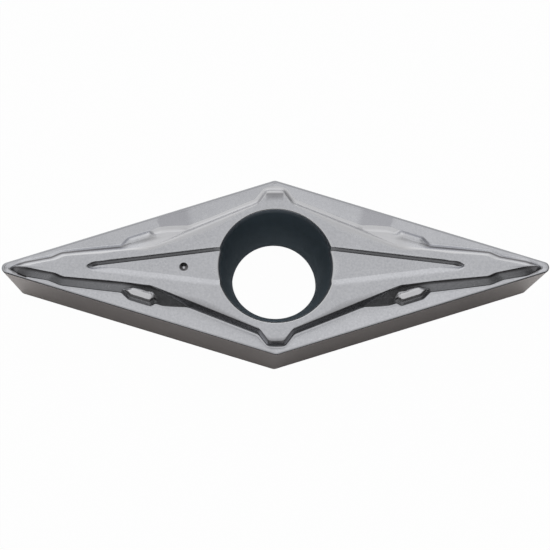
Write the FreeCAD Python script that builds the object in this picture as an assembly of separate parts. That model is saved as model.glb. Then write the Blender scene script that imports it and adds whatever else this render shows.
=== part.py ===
"""A double-ended diamond insert for finish turning: one pressed and sintered body of cemented carbide.

The bottom face lies on z = 0 and the screw hole stands on the Z axis. The long diagonal runs along X
and the short one along Y, and the form is mirrored across both. Only the small round witness dimple
is on one side. All sizes are in mm and all angles in degrees.
"""

import FreeCAD, Part
import math
import os

# Blank: a rhombus drawn round an inscribed circle, its flanks leaning inwards down to the seat
INSCRIBED_CIRCLE = 9.525
POINT_ANGLE = 35.0
THICKNESS = 4.76
CLEARANCE_ANGLE = 5.0
NOSE_RADIUS = 0.32
SEAT_NOSE_RADIUS = 0.22
WAIST_RADIUS = 0.40

# Groove: the rake falls inwards from the cutting edge and ends in a flat floor
RAKE_ANGLE = 12.0
GROOVE_DEPTH = 0.20
GROOVE_FLOOR_NOSE_RADIUS = 0.08

# Hone: the cutting edge is broken by a narrow sloping band
HONE_WIDTH = 0.04
HONE_ANGLE = 40.0

# Deck: the plateau round the hole. Its height is above the cutting edge
DECK_HEIGHT = 0.35
RIM_BEVEL = 0.05

# Deck outline. A point is placed by how far back it lies from the sharp nose point, measured along
# the cutting edge, and by how far in it lies from that edge
DECK_TIP_SETBACK = 1.34
DECK_TIP_BLEND = 0.10
JOG_FRONT_BACK = 3.67
JOG_FRONT_INSET = 0.74
JOG_REAR_BACK = 4.09
JOG_REAR_INSET = 0.67
KINK_BACK = 8.82
KINK_INSET = 1.66
CORNER_BLEND = 0.14

# Ridge: the deck runs out towards the nose as a narrow ridge. It is placed back from the sharp nose,
# measured along the long diagonal, and by its half width there
RIDGE_SETBACK = 2.12
RIDGE_HALF_WIDTH = 0.065

# Tab: the deck's tongue towards the waist corner. Its shoulder is placed from that corner
SHOULDER_ALONG = 1.24
SHOULDER_INSET = 1.06
TAB_HALF_WIDTH = 0.41
TAB_SETBACK = 0.71

# Breaker wall: its outline at the level of the cutting edge, placed in the same way
WALL_TIP_SETBACK = 1.14
WALL_TIP_BLEND = 0.16
WALL_RIDGE_SETBACK = 1.94
WALL_RIDGE_HALF_WIDTH = 0.40
WALL_JOG_FRONT_BACK = 3.36
WALL_JOG_FRONT_INSET = 0.36
WALL_JOG_REAR_BACK = 4.10
WALL_JOG_REAR_INSET = 0.27
WALL_SWING_BACK = 7.36
WALL_SWING_INSET = 1.03
WALL_SHELF_START_BACK = 9.52
WALL_SHELF_START_INSET = 1.07
WALL_SHELF_END_BACK = 11.27
WALL_SHELF_END_INSET = 1.29
WALL_SHOULDER_ALONG = 1.29
WALL_SHOULDER_INSET = 0.94
WALL_TAB_HALF_WIDTH = 0.46
WALL_TAB_SETBACK = 0.56

# Chip lugs: four long six-sided bumps on the wall, in line with the cutting edges. A lug's long sides
# are parallel and a point closes them at either end; the end sizes are measured from its middle
LUG_BACK = 8.46
LUG_INSET = 1.03
LUG_HALF_WIDTH = 0.17
LUG_NOSE_POINT = 0.76
LUG_NOSE_SHOULDER = 0.49
LUG_WAIST_POINT = 0.77
LUG_WAIST_POINT_OFFSET = 0.10
LUG_WAIST_SHOULDER = 0.57
LUG_HEIGHT = 0.20
LUG_DRAFT = 38.0

# Relief pockets: two shallow wedges sunk in the deck, from the hole out towards the noses
POCKET_TIP_SETBACK = 5.50
POCKET_TIP_HALF_WIDTH = 0.21
POCKET_TIP_ROUNDNESS = 0.85
POCKET_FLOOR_TIP_HALF_WIDTH = 0.04
POCKET_HALF_ANGLE = 7.0
POCKET_DEPTH = 0.16
POCKET_WALL_RUN = 0.20

# Witness dimple: a small round pit in the floor of one pocket
DIMPLE_FROM_HOLE_AXIS = 5.06
DIMPLE_DIAMETER = 0.54
DIMPLE_FLOOR_DIAMETER = 0.30
DIMPLE_DEPTH = 0.10

# Screw hole: widened by a cone towards the seat, straight for a short length above it, then flared by
# a long arc like the bell of a trumpet
HOLE_DIAMETER = 4.60
HOLE_SEAT_DIAMETER = 5.10
HOLE_CONE_HEIGHT = 0.82
HOLE_STRAIGHT_LENGTH = 0.58
HOLE_FLARE_RADIUS = 7.75

# Spare length by which a cutting solid stands clear of what it cuts, and the length by which the
# plateau and the lugs run on below the floor of the groove
SPARE = 0.50
ROOT = 0.05

# A bend takes at most this share of the straight side next to it. A bend that stands out less than
# LEAST_BEND from its chord is drawn straight, and a wall twisted by less than LEAST_TWIST is drawn flat
MOST_REACH = 0.45
LEAST_BEND = 0.0005
LEAST_TWIST = 0.0000001

# The shelf's ramp ends above at the deck's kink, which is the corner of this number behind the tip
KINK = 4

HALF_POINT = math.radians(POINT_ANGLE / 2)
SHARP_NOSE = INSCRIBED_CIRCLE / 2 / math.sin(HALF_POINT)
SHARP_WAIST = INSCRIBED_CIRCLE / 2 / math.cos(HALF_POINT)
SIDE_LENGTH = math.hypot(SHARP_NOSE, SHARP_WAIST)
DECK_LEVEL = THICKNESS + DECK_HEIGHT


def from_nose(back, inset):
    """Plan point at a distance back along the edge from the sharp nose, and in from that edge."""
    x = SHARP_NOSE - back * math.cos(HALF_POINT) - inset * math.sin(HALF_POINT)
    y = back * math.sin(HALF_POINT) - inset * math.cos(HALF_POINT)
    return x, y


def from_waist(along, inset):
    """Plan point at a distance along the edge from the sharp waist corner, and in from that edge."""
    return from_nose(SIDE_LENGTH - along, inset)


def between(start, end, share):
    """Point that lies at a share of the way from start to end."""
    return tuple(a + (b - a) * share for a, b in zip(start, end))


def rounded_wire(corners, level):
    """Closed wire at a level through (x, y, reach) corners: each arc starts that far before its corner."""
    points = [FreeCAD.Vector(x, y, level) for x, y, reach in corners]
    bends = []
    for i, (x, y, reach) in enumerate(corners):
        corner, before, after = points[i], points[i - 1], points[(i + 1) % len(points)]
        shorter_side = min(corner.distanceToPoint(before), corner.distanceToPoint(after))
        reach = min(reach, MOST_REACH * shorter_side)
        start = corner + (before - corner).normalize() * reach
        end = corner + (after - corner).normalize() * reach
        chord = (start + end) * 0.5
        half = (start - corner).getAngle(end - corner) / 2
        sagitta = reach * math.tan(half) * (1 - math.sin(half))
        if sagitta < LEAST_BEND:
            bends.append((start, None, end))
        else:
            bends.append((start, chord + (corner - chord).normalize() * sagitta, end))
    edges = []
    for i, (start, mid, end) in enumerate(bends):
        bend = Part.Arc(start, mid, end) if mid else Part.LineSegment(start, end)
        edges.append(bend.toShape())
        edges.append(Part.LineSegment(end, bends[(i + 1) % len(bends)][0]).toShape())
    return Part.Wire(edges)


def rhombus(inset, level, nose_radius, waist_radius):
    """The insert's outline, moved in by an inset, with its four corners rounded."""
    shrink = 1 - inset / (INSCRIBED_CIRCLE / 2)
    nose, waist = SHARP_NOSE * shrink, SHARP_WAIST * shrink
    half = [(nose, 0, nose_radius / math.tan(HALF_POINT)), (0, waist, waist_radius * math.tan(HALF_POINT))]
    return rounded_wire(half + [(-x, -y, reach) for x, y, reach in half], level)


def four_fold(tip, quarter, level):
    """Wire through a tip on the X axis and the corners of one quarter, mirrored into all four."""
    tip_x, tip_reach = tip
    half = [(tip_x, 0, tip_reach)] + quarter + [(-x, y, reach) for x, y, reach in reversed(quarter)]
    return rounded_wire(half + [(-x, -y, reach) for x, y, reach in half], level)


def side_face(low, high):
    """Face between an edge and the one above it: a plane where they allow it, a ruled face elsewhere."""
    a, b, c, d = [v.Point for edge in (low, high) for v in (edge.firstVertex(True), edge.lastVertex(True))]
    straight = all(isinstance(edge.Curve, Part.Line) for edge in (low, high))
    normal = (b - a).cross(c - a).normalize()
    if straight and abs(normal.dot(d - a)) < LEAST_TWIST:
        return Part.Face(Part.makePolygon([a, b, d, c, a]))
    return Part.makeRuledSurface(low, high)


def loft(*wires):
    """Solid through level wires that lie above each other and have the same number of edges."""
    faces = [Part.Face(wires[0]), Part.Face(wires[-1])]
    for lower, upper in zip(wires, wires[1:]):
        faces += [side_face(low, high) for low, high in zip(lower.OrderedEdges, upper.OrderedEdges)]
    shell = Part.makeShell(faces)
    shell.sewShape()
    return Part.makeSolid(shell)


def blank():
    """The pressed rhombus. Its flanks run on past the edge level, so that the groove cuts the edge."""
    lean = math.tan(math.radians(CLEARANCE_ANGLE))
    top = DECK_LEVEL + SPARE
    growth = (NOSE_RADIUS - SEAT_NOSE_RADIUS) / THICKNESS
    seat = rhombus(THICKNESS * lean, 0, SEAT_NOSE_RADIUS, WAIST_RADIUS)
    over = rhombus((THICKNESS - top) * lean, top, SEAT_NOSE_RADIUS + growth * top, WAIST_RADIUS)
    return loft(seat, over)


def groove():
    """What the punch clears above the rake and the hone. It meets the flanks at the cutting edge."""
    hone_slope = math.tan(math.radians(HONE_ANGLE))
    edge_level = THICKNESS - HONE_WIDTH * hone_slope
    floor_inset = HONE_WIDTH + GROOVE_DEPTH / math.tan(math.radians(RAKE_ANGLE))
    outer_radius = NOSE_RADIUS + SPARE
    floor = rhombus(floor_inset, THICKNESS - GROOVE_DEPTH, GROOVE_FLOOR_NOSE_RADIUS, WAIST_RADIUS)
    crest = rhombus(HONE_WIDTH, THICKNESS, NOSE_RADIUS - HONE_WIDTH, WAIST_RADIUS)
    outer = rhombus(-SPARE, edge_level - SPARE * hone_slope, outer_radius, WAIST_RADIUS)
    above = rhombus(-SPARE, DECK_LEVEL + SPARE, outer_radius, WAIST_RADIUS)
    return loft(floor, crest, outer, above)


def deck_corners():
    """Quarter corners of the deck, then the same for the wall at the edge level."""
    jog_rear = from_nose(JOG_REAR_BACK, JOG_REAR_INSET)
    kink = from_nose(KINK_BACK, KINK_INSET)
    shoulder = from_waist(SHOULDER_ALONG, SHOULDER_INSET)
    swing = (WALL_SWING_BACK - JOG_REAR_BACK) / (KINK_BACK - JOG_REAR_BACK)
    shelf = (WALL_SHELF_END_BACK - KINK_BACK) / (SIDE_LENGTH - SHOULDER_ALONG - KINK_BACK)
    deck = [
        (SHARP_NOSE - RIDGE_SETBACK, RIDGE_HALF_WIDTH),
        from_nose(JOG_FRONT_BACK, JOG_FRONT_INSET),
        jog_rear,
        between(jog_rear, kink, swing),
        kink,
        between(kink, shoulder, shelf),
        shoulder,
        (TAB_HALF_WIDTH, SHARP_WAIST - TAB_SETBACK),
    ]
    wall = [
        (SHARP_NOSE - WALL_RIDGE_SETBACK, WALL_RIDGE_HALF_WIDTH),
        from_nose(WALL_JOG_FRONT_BACK, WALL_JOG_FRONT_INSET),
        from_nose(WALL_JOG_REAR_BACK, WALL_JOG_REAR_INSET),
        from_nose(WALL_SWING_BACK, WALL_SWING_INSET),
        from_nose(WALL_SHELF_START_BACK, WALL_SHELF_START_INSET),
        from_nose(WALL_SHELF_END_BACK, WALL_SHELF_END_INSET),
        from_waist(WALL_SHOULDER_ALONG, WALL_SHOULDER_INSET),
        (WALL_TAB_HALF_WIDTH, SHARP_WAIST - WALL_TAB_SETBACK),
    ]
    return deck, wall


def plateau_outline(drop, spread):
    """Outline of the plateau at a drop below the deck, moved on down the wall by a further spread."""
    deck, wall = deck_corners()
    share = (drop + spread) / DECK_HEIGHT
    deck_tip, wall_tip = SHARP_NOSE - DECK_TIP_SETBACK, SHARP_NOSE - WALL_TIP_SETBACK
    tip_x = deck_tip + (wall_tip - deck_tip) * share
    tip_blend = DECK_TIP_BLEND + (WALL_TIP_BLEND - DECK_TIP_BLEND) * share
    corners = [between(top, low, share) + (CORNER_BLEND,) for top, low in zip(deck, wall)]
    return four_fold((tip_x, tip_blend), corners, DECK_LEVEL - drop)


def plateau():
    """The deck, its bevelled rim, and its walls, which run down past the floor of the groove."""
    base = plateau_outline(DECK_HEIGHT + GROOVE_DEPTH + ROOT, 0)
    return loft(base, plateau_outline(RIM_BEVEL, 0), plateau_outline(0, -RIM_BEVEL))


def shelf(side_x, side_y):
    """Cutting solid over one flat ramp. It rises from below the floor of the groove to the deck's kink
    and ends in a cliff below the deck edge behind the kink."""
    reach = (DECK_HEIGHT + GROOVE_DEPTH + 2 * ROOT) / DECK_HEIGHT
    deck, wall = deck_corners()
    kink = FreeCAD.Vector(*deck[KINK], DECK_LEVEL)
    start = FreeCAD.Vector(*wall[KINK], THICKNESS) - kink
    end = FreeCAD.Vector(*wall[KINK + 1], THICKNESS) - kink
    corners = [kink, kink + start * reach, kink + end * reach]
    corners = [FreeCAD.Vector(side_x * v.x, side_y * v.y, v.z) for v in corners]
    return Part.Face(Part.makePolygon(corners + corners[:1])).extrude(FreeCAD.Vector(0, 0, 2 * SPARE))


def moved_out(corners, growth, level):
    """Closed wire at a level: a polygon, given counterclockwise, whose sides have all moved out."""
    moved = []
    for i, (x, y) in enumerate(corners):
        (before_x, before_y), (after_x, after_y) = corners[i - 1], corners[(i + 1) % len(corners)]
        arriving = FreeCAD.Vector(x - before_x, y - before_y, 0).normalize()
        leaving = FreeCAD.Vector(after_x - x, after_y - y, 0).normalize()
        half_turn = arriving.getAngle(leaving) / 2
        outward = (arriving - leaving).normalize()
        slide = growth / math.cos(half_turn)
        moved.append(FreeCAD.Vector(x, y, level) + outward * slide)
    return Part.makePolygon(moved + moved[:1])


def lug(side_x, side_y):
    """One chip lug: a six-sided bump with drafted sides and a bevelled rim, on one quarter."""
    x, y = from_nose(LUG_BACK, LUG_INSET)
    turn = -POINT_ANGLE / 2
    top = [
        (LUG_NOSE_POINT, 0),
        (LUG_NOSE_SHOULDER, LUG_HALF_WIDTH),
        (-LUG_WAIST_SHOULDER, LUG_HALF_WIDTH),
        (-LUG_WAIST_POINT, -LUG_WAIST_POINT_OFFSET),
        (-LUG_WAIST_SHOULDER, -LUG_HALF_WIDTH),
        (LUG_NOSE_SHOULDER, -LUG_HALF_WIDTH),
    ]
    wires = []
    for drop, spread in ((LUG_HEIGHT + GROOVE_DEPTH + ROOT, 0), (RIM_BEVEL, 0), (0, -RIM_BEVEL)):
        growth = (drop + spread) * math.tan(math.radians(LUG_DRAFT))
        wire = moved_out(top, growth, THICKNESS + LUG_HEIGHT - drop)
        wire.rotate(FreeCAD.Vector(0, 0, 0), FreeCAD.Vector(0, 0, 1), turn)
        wire.translate(FreeCAD.Vector(x, y, 0))
        wires.append(wire)
    bump = loft(*wires)
    if side_x < 0:
        bump = bump.mirror(FreeCAD.Vector(0, 0, 0), FreeCAD.Vector(1, 0, 0))
    if side_y < 0:
        bump = bump.mirror(FreeCAD.Vector(0, 0, 0), FreeCAD.Vector(0, 1, 0))
    return bump


def pocket(side_x):
    """Cutting solid for one relief pocket: a blunt wedge with sloping walls, open to the hole."""
    tip_x = SHARP_NOSE - POCKET_TIP_SETBACK
    root_half = POCKET_TIP_HALF_WIDTH + tip_x * math.tan(math.radians(POCKET_HALF_ANGLE))
    rim = (tip_x, POCKET_TIP_HALF_WIDTH, root_half)
    floor = (tip_x - POCKET_WALL_RUN, POCKET_FLOOR_TIP_HALF_WIDTH, root_half - POCKET_WALL_RUN)
    wires = []
    for height in (0, POCKET_DEPTH + SPARE):
        x, half, root = between(floor, rim, height / POCKET_DEPTH)
        reach = POCKET_TIP_ROUNDNESS * half
        corners = [(0, -root, CORNER_BLEND), (x, -half, reach), (x, half, reach), (0, root, CORNER_BLEND)]
        wires.append(rounded_wire(corners, DECK_LEVEL - POCKET_DEPTH + height))
    wedge = loft(*wires)
    return wedge if side_x > 0 else wedge.mirror(FreeCAD.Vector(0, 0, 0), FreeCAD.Vector(1, 0, 0))


def dimple():
    """Cutting solid for the witness dimple, a small cone frustum below the pocket floor."""
    floor_level = DECK_LEVEL - POCKET_DEPTH
    slope = (DIMPLE_DIAMETER - DIMPLE_FLOOR_DIAMETER) / 2 / DIMPLE_DEPTH
    top_radius = DIMPLE_DIAMETER / 2 + slope * DIMPLE_DEPTH
    base = FreeCAD.Vector(-DIMPLE_FROM_HOLE_AXIS, 0, floor_level - DIMPLE_DEPTH)
    return Part.makeCone(DIMPLE_FLOOR_DIAMETER / 2, top_radius, 2 * DIMPLE_DEPTH, base)


def screw_hole():
    """Cutting solid for the hole: cone, straight bore and trumpet flare, turned about the axis."""
    radius = HOLE_DIAMETER / 2
    seat_radius = HOLE_SEAT_DIAMETER / 2
    straight_top = HOLE_CONE_HEIGHT + HOLE_STRAIGHT_LENGTH
    rise = DECK_LEVEL + SPARE - straight_top

    def flare(share):
        angle = math.asin(rise / HOLE_FLARE_RADIUS) * share
        out = radius + HOLE_FLARE_RADIUS * (1 - math.cos(angle))
        return FreeCAD.Vector(out, 0, straight_top + HOLE_FLARE_RADIUS * math.sin(angle))

    above = FreeCAD.Vector(0, 0, flare(1).z)
    below = FreeCAD.Vector(0, 0, -SPARE)
    cone_low = FreeCAD.Vector(seat_radius + (seat_radius - radius) / HOLE_CONE_HEIGHT * SPARE, 0, -SPARE)
    cone_high = FreeCAD.Vector(radius, 0, HOLE_CONE_HEIGHT)
    corners = [flare(1), above, below, cone_low, cone_high, flare(0)]
    sides = [Part.LineSegment(a, b).toShape() for a, b in zip(corners, corners[1:])]
    profile = Part.Wire([Part.Arc(flare(0), flare(0.5), flare(1)).toShape()] + sides)
    return Part.Face(profile).revolve(FreeCAD.Vector(0, 0, 0), FreeCAD.Vector(0, 0, 1), 360)


def insert():
    """The whole insert: the blank, less the groove round the plateau and lugs, less what is sunk."""
    quarters = [(side_x, side_y) for side_x in (1, -1) for side_y in (1, -1)]
    kept = plateau().cut([shelf(*quarter) for quarter in quarters])
    kept = kept.fuse([lug(*quarter) for quarter in quarters])
    body = blank().cut(groove().cut(kept))
    sunk = [pocket(1), pocket(-1), dimple(), screw_hole()]
    return body.cut(sunk).removeSplitter()


os.makedirs("parts", exist_ok=True)
insert().exportStep("parts/insert.step")
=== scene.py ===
# %% [markdown]
# # A carbide insert, dressed for its photograph
# The object is one body of cemented carbide: a long diamond with a cutting point at each end, a raised
# deck round a screw hole, and a chip breaker pressed into the top. The CAD model is the frame. This
# lesson builds the same body again as one fine surface, with the soft rims and fillets that pressing,
# grinding and blasting leave, and then gives it the finish, the floor, the light and the camera.
#
# The first step loads the frame.

# %% Load the frame
import math

import bpy
import numpy as np
from mathutils import Matrix, Vector


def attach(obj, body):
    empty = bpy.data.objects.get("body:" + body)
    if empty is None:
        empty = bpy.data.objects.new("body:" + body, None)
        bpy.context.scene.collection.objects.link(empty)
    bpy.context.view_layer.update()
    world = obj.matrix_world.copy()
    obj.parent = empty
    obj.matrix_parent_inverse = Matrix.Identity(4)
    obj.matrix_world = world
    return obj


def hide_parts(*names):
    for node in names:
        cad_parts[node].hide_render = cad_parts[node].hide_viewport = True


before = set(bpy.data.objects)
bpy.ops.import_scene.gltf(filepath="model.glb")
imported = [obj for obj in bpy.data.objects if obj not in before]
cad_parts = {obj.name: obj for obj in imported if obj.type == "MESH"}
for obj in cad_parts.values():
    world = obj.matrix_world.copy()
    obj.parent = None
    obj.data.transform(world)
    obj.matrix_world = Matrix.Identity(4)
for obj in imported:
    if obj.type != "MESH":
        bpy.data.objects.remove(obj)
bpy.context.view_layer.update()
MM = 0.001

# %% [markdown]
# ## Sizes of the real object
# These are the sizes of the CAD model, in millimetres. The outline is a rhombus round an inscribed
# circle. A point on top is placed as a toolmaker would place it: how far back from the sharp nose,
# measured along the cutting edge, and how far in from that edge.
#
# A few small forms are drawn a little differently from the CAD model, so that they look as they do in
# the photo. The first is the hone, the narrow flat along the cutting edge. It is about 0.04 mm wide,
# which is less than a pixel of the photo, so it is drawn 0.07 mm wide and less steep, with about the
# same drop. The others are named where they come.

# %% Sizes in millimetres
INSCRIBED_CIRCLE, THICKNESS, CLEARANCE = 9.525, 4.76, math.radians(5.0)
HALF_POINT = math.radians(17.5)
NOSE_RADIUS, SEAT_NOSE_RADIUS, WAIST_RADIUS = 0.32, 0.22, 0.40
HONE_WIDTH, HONE_ANGLE = 0.07, math.radians(26.0)
RAKE, GROOVE_DEPTH = math.radians(12.0), 0.20
DECK = THICKNESS + 0.35
HOLE_RADIUS, SEAT_HOLE_RADIUS, CONE_TOP, STRAIGHT_TOP, FLARE_RADIUS = 2.30, 2.55, 0.82, 1.40, 7.75
SHARP_NOSE = INSCRIBED_CIRCLE / 2 / math.sin(HALF_POINT)
SHARP_WAIST = INSCRIBED_CIRCLE / 2 / math.cos(HALF_POINT)
SIDE = math.hypot(SHARP_NOSE, SHARP_WAIST)


def from_nose(back, inset):
    """Plan point: back along the edge from the sharp nose, then in at a right angle to that edge."""
    x = SHARP_NOSE - back * math.cos(HALF_POINT) - inset * math.sin(HALF_POINT)
    return x, back * math.sin(HALF_POINT) - inset * math.cos(HALF_POINT)


def part_way(start, end, share):
    """Point at a share of the way from start to end."""
    return tuple(a + (b - a) * share for a, b in zip(start, end))


print("sharp nose at", round(SHARP_NOSE, 3), "mm and sharp waist at", round(SHARP_WAIST, 3), "mm")

# %% [markdown]
# ## Rails
# The deck edge, the foot of the breaker wall and the cutting edge are different outlines, but each of
# them has the same order of corners: tip, ridge, step, jog, swing, kink, shelf, shoulder and tab. So
# each is drawn as a rail with matching corners, and the skin is stretched from rail to rail. A Boolean
# of simple blocks would give the same body with hard edges; matching rails let every edge have its own
# softness.
#
# A rail is given for one quarter, from the nose to the waist, and mirrored into the other three. Its
# corners are rounded with arcs. The columns of the grid lie closer together at corners.

# %% Columns of the grid
STEPS = (14, 16, 10, 20, 40, 12, 6, 8, 16, 12, 6)
CORNERS = len(STEPS)


def columns():
    """Places round the outline, counted in corners. Each step from corner to corner is divided by a
    mean of even spacing and cosine spacing, so columns crowd at the corners."""
    quarter = []
    for corner, count in enumerate(STEPS):
        even = np.arange(count) / count
        quarter.append(corner + 0.5 * even + 0.25 * (1 - np.cos(math.pi * even)))
    quarter = np.concatenate(quarter)
    back = 2 * CORNERS - np.concatenate([quarter[1:], [CORNERS]])[::-1]
    half = np.concatenate([quarter, back])
    return np.concatenate([half, half + 2 * CORNERS])


place = columns()
print("columns round the outline:", len(place))

# %% [markdown]
# ## Rounded corners
# A chain of straight sides is easy to measure and to write down, but no edge of the real insert is that
# sharp. Each corner says how far its bend reaches along its two sides. Blender's Bevel modifier could
# round them too, but it would change the number of columns, which has to be the same on every rail.

# %% A rounded rail
MOST_OF_SIDE = 0.45


def all_round(quarter):
    """Rows (x, y, reach) of one quarter, from nose to waist, mirrored into the closed outline."""
    quarter = np.array(quarter, float)
    half = np.vstack([quarter[:-1], quarter[:0:-1] * (-1, 1, 1)])
    return np.vstack([half, half * (-1, -1, 1)])


def corner_sizes(to_before, to_after):
    """Length of the side before a corner and of the side after it, and the weight of the corner in its
    arc, which is the sine of half the angle between the sides."""
    length_before = np.linalg.norm(to_before, axis=1, keepdims=True)
    length_after = np.linalg.norm(to_after, axis=1, keepdims=True)
    cosine = (to_before * to_after).sum(1, keepdims=True) / (length_before * length_after)
    return length_before, length_after, np.sqrt(np.clip((1 - cosine) / 2, 0, 1))


def arc(start, corner, end, weight, t):
    """Point of a corner's arc at t from 0 to 1: a mean in which the start counts (1 - t) squared, the
    corner 2 t (1 - t) times its weight, and the end t squared."""
    a, b, c = (1 - t) ** 2, 2 * weight * t * (1 - t), t ** 2
    return (a * start + b * corner + c * end) / (a + b + c)


def rail(quarter, place):
    """Rounded outline at the given places. Between corners it is the straight side. Within reach of a
    corner, and in no more than MOST_OF_SIDE of a side, it is the corner's arc."""
    loop = all_round(quarter)
    nearest = np.floor(place + 0.5).astype(int)
    along = (place - nearest)[:, None]
    corner, before, after = (loop[(nearest + k) % len(loop)] for k in (0, -1, 1))
    reach = corner[:, 2:]
    corner, before, after = corner[:, :2], before[:, :2], after[:, :2]
    to_before, to_after = before - corner, after - corner
    length_before, length_after, weight = corner_sizes(to_before, to_after)
    share_before = np.minimum(reach / length_before, MOST_OF_SIDE)
    share_after = np.minimum(reach / length_after, MOST_OF_SIDE)
    # A corner without a bend has no arc, and the tiny number only keeps its division safe.
    t = np.clip((along + share_before) / np.maximum(share_before + share_after, 1e-9), 0, 1)
    start, end = corner + to_before * share_before, corner + to_after * share_after
    straight = corner + np.where(along < 0, to_before * -along, to_after * along)
    on_arc = (along > -share_before) & (along < share_after)
    return np.where(on_arc, arc(start, corner, end, weight, t), straight)


print("a bend takes at most", MOST_OF_SIDE, "of a side")

# %% [markdown]
# ## The outlines of the blank
# The seat, the cutting edge and the crest behind its hone are the same rhombus, moved in by a little.
# The flanks lean in by the clearance angle, so the seat is the smallest of them. The rhombus has no
# jog or shelf, but it gets corners without a bend at about the same backs as the breaker wall has them,
# so that the columns run straight up the top.

# %% Rails of the seat, the cutting edge and the crest
BACKS = (2.3, 3.2, 4.09, 7.36, 9.52, 11.27, 12.0, 13.0, 15.2, 16.0)


def rhombus(inset, nose_radius, waist_radius):
    """The outline moved in by an inset: rounded tip, a corner without a bend at each back, and waist."""
    shrink = 1 - inset / (INSCRIBED_CIRCLE / 2)
    nose, waist = (SHARP_NOSE * shrink, 0), (0, SHARP_WAIST * shrink)
    middle = [part_way(nose, waist, back / SIDE) + (0,) for back in BACKS]
    tip = nose + (nose_radius / math.tan(HALF_POINT),)
    return [tip] + middle + [waist + (waist_radius * math.tan(HALF_POINT),)]


seat_rail = rail(rhombus(THICKNESS * math.tan(CLEARANCE), SEAT_NOSE_RADIUS, WAIST_RADIUS), place)
edge_drop = HONE_WIDTH * math.tan(HONE_ANGLE)
edge_rail = rail(rhombus(edge_drop * math.tan(CLEARANCE), NOSE_RADIUS, WAIST_RADIUS), place)
crest_rail = rail(rhombus(HONE_WIDTH, NOSE_RADIUS - HONE_WIDTH, WAIST_RADIUS), place)
print("nose at", round(float(edge_rail[:, 0].max()), 3), "mm")

# %% [markdown]
# ## The outlines of the deck and the breaker wall
# Their corners are those of the CAD model, read from the photo. Only the ridge at the foot of the nose
# is drawn wider, 0.46 mm for 0.40 mm in half width. Two more corners without a bend mark where the
# pocket walls will meet the hole, so that the skin can follow them.

# %% Rails of the deck and the wall
BEND = 0.14
JOG_BACK, SWING_BACK, KINK_BACK, SHELF_BACK, SHOULDER_BACK = 4.09, 7.36, 8.82, 11.27, SIDE - 1.24
POCKET_SHARES = (0.12, 0.30)


def breaker(tip, named, shoulder, tab):
    """Outline through a tip, six named corners, the pocket's two marks, a shoulder and the tab."""
    marks = [part_way(named[-1], shoulder, share) + (0,) for share in POCKET_SHARES]
    corners = [corner + (BEND,) for corner in named]
    return [tip] + corners + marks + [shoulder + (BEND,), tab + (BEND,), (0, tab[1], 0)]


deck_tip, deck_ridge = (SHARP_NOSE - 1.34, 0, 0.10), (SHARP_NOSE - 2.12, 0.065)
deck_step, deck_jog = from_nose(3.67, 0.74), from_nose(JOG_BACK, 0.67)
deck_kink, deck_shoulder = from_nose(KINK_BACK, 1.66), from_nose(SHOULDER_BACK, 1.06)
deck_tab = (0.41, SHARP_WAIST - 0.71)
deck_swing = part_way(deck_jog, deck_kink, (SWING_BACK - JOG_BACK) / (KINK_BACK - JOG_BACK))
deck_shelf = part_way(deck_kink, deck_shoulder, (SHELF_BACK - KINK_BACK) / (SHOULDER_BACK - KINK_BACK))
deck_named = [deck_ridge, deck_step, deck_jog, deck_swing, deck_kink, deck_shelf]
deck_rail = rail(breaker(deck_tip, deck_named, deck_shoulder, deck_tab), place)

wall_tip, wall_ridge = (SHARP_NOSE - 1.14, 0, 0.16), (SHARP_NOSE - 1.94, 0.46)
wall_step, wall_jog = from_nose(3.36, 0.36), from_nose(4.10, 0.27)
wall_swing, wall_kink = from_nose(SWING_BACK, 1.03), from_nose(9.52, 1.07)
wall_shelf, wall_shoulder = from_nose(SHELF_BACK, 1.29), from_nose(SIDE - 1.29, 0.94)
wall_tab = (0.46, SHARP_WAIST - 0.56)
wall_named = [wall_ridge, wall_step, wall_jog, wall_swing, wall_kink, wall_shelf]
wall_rail = rail(breaker(wall_tip, wall_named, wall_shoulder, wall_tab), place)
print("deck tip at", round(float(deck_rail[:, 0].max()), 3), "mm")

# %% [markdown]
# ## The dish and the foot of the wall
# The rake is a dish: it falls by 12 degrees from the crest of the cutting edge to a flat floor. The
# wall comes down from the deck edge and meets the dish wherever the two are level, so the foot isn't
# drawn: it is found for every column by halving the range of levels until wall and dish agree.

# %% The dish, and where the wall meets it
FLOOR_FILL = 0.12
BELOW_FLOOR, HALVINGS = 0.15, 40


def soft_max(a, b, k):
    """The larger of two heights, with the crease between them filled over a band of height k. Where the
    two are level, the filling adds a quarter of k."""
    h = np.maximum(k - np.abs(a - b), 0) / k
    return np.maximum(a, b) + h * h * k / 4


def inset_of(points):
    """Distance in from the sharp-sided outline, measured round the nose from the nose's own centre."""
    x, y = np.abs(points[..., 0]), np.abs(points[..., 1])
    side = x * math.sin(HALF_POINT) + y * math.cos(HALF_POINT)
    centre = SHARP_NOSE - NOSE_RADIUS / math.sin(HALF_POINT)
    ahead = (x - centre) * math.cos(HALF_POINT) - y * math.sin(HALF_POINT)
    round_nose = NOSE_RADIUS - np.hypot(x - centre, y)
    return np.where(ahead > 0, round_nose, INSCRIBED_CIRCLE / 2 - side)


def dish(points):
    """Height of the rake: the crest's height less the fall, which stops softly at the floor."""
    fall = (inset_of(points) - HONE_WIDTH) * math.tan(RAKE)
    return THICKNESS + soft_max(-fall, -GROOVE_DEPTH - FLOOR_FILL / 4, FLOOR_FILL)


def on_wall(level):
    """Plan point of every column's wall at a level, on the line from deck edge to wall outline."""
    share = ((DECK - level) / (DECK - THICKNESS))[:, None]
    return deck_rail + (wall_rail - deck_rail) * share


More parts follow.
